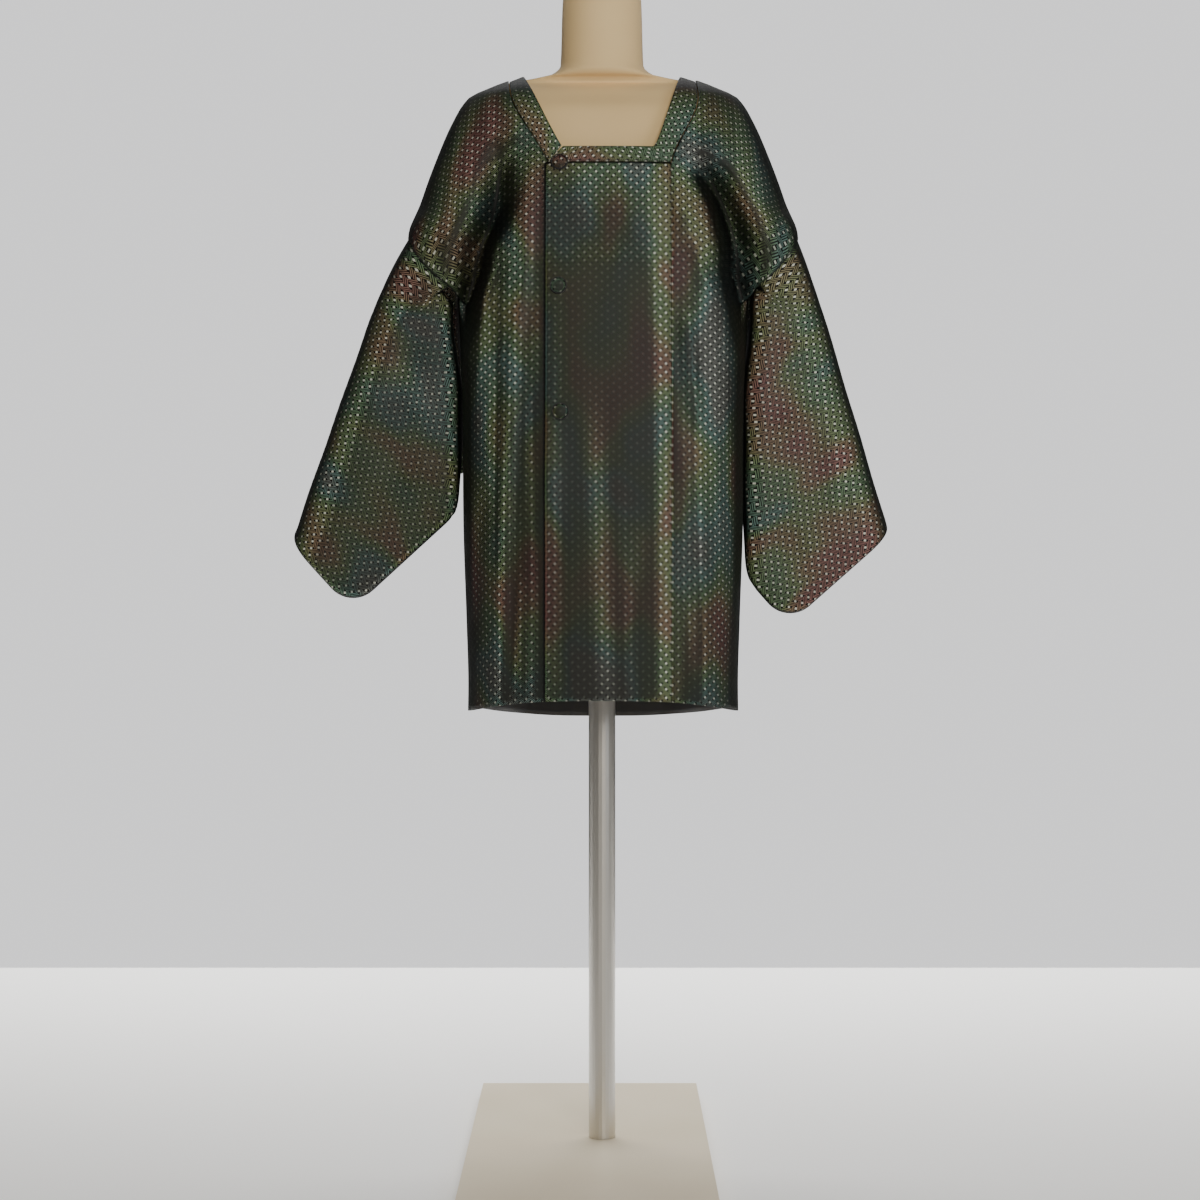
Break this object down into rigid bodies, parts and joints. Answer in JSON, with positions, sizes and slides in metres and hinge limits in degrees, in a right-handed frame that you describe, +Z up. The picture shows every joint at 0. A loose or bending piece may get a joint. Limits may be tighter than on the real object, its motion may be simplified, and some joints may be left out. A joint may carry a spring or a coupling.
{
  "type": "michiyuki coat on a limbless dress form",
  "caption": "Michiyuki kimono coat with square framed neck, front overlap, covered buttons and wide hanging sleeves, on a limbless dress form with pole and base board",
  "frame": {"origin": "where the pole's axis meets the base board's underside", "axes": "+Z up, the coat's front faces -Y, +X is the wearer's left"},
  "size_m": [0.7097, 0.6, 1.392],
  "materials": {
    "silk_jacquard": "dark jacquard with small lozenges and fine slanting lines, soft sheen",
    "neck_silk": "the same jacquard, folded into a band",
    "button_silk": "the same jacquard drawn over a dome",
    "form_cover": "matt cream cotton jersey",
    "pole_metal": "satin",
    "board_wood": "cream lacquer"
  },
  "bodies": {
    "root": {"body_left": "silk_jacquard", "body_right": "silk_jacquard", "front_panel_left": "silk_jacquard", "front_panel_right": "silk_jacquard", "sleeve_left": "silk_jacquard", "sleeve_right": "silk_jacquard", "neck_band": "neck_silk", "button_top": "button_silk", "button_middle": "button_silk", "button_bottom": "button_silk", "form_torso": "form_cover", "form_pole": "pole_metal", "form_board": "board_wood"}
  },
  "joints": []
}
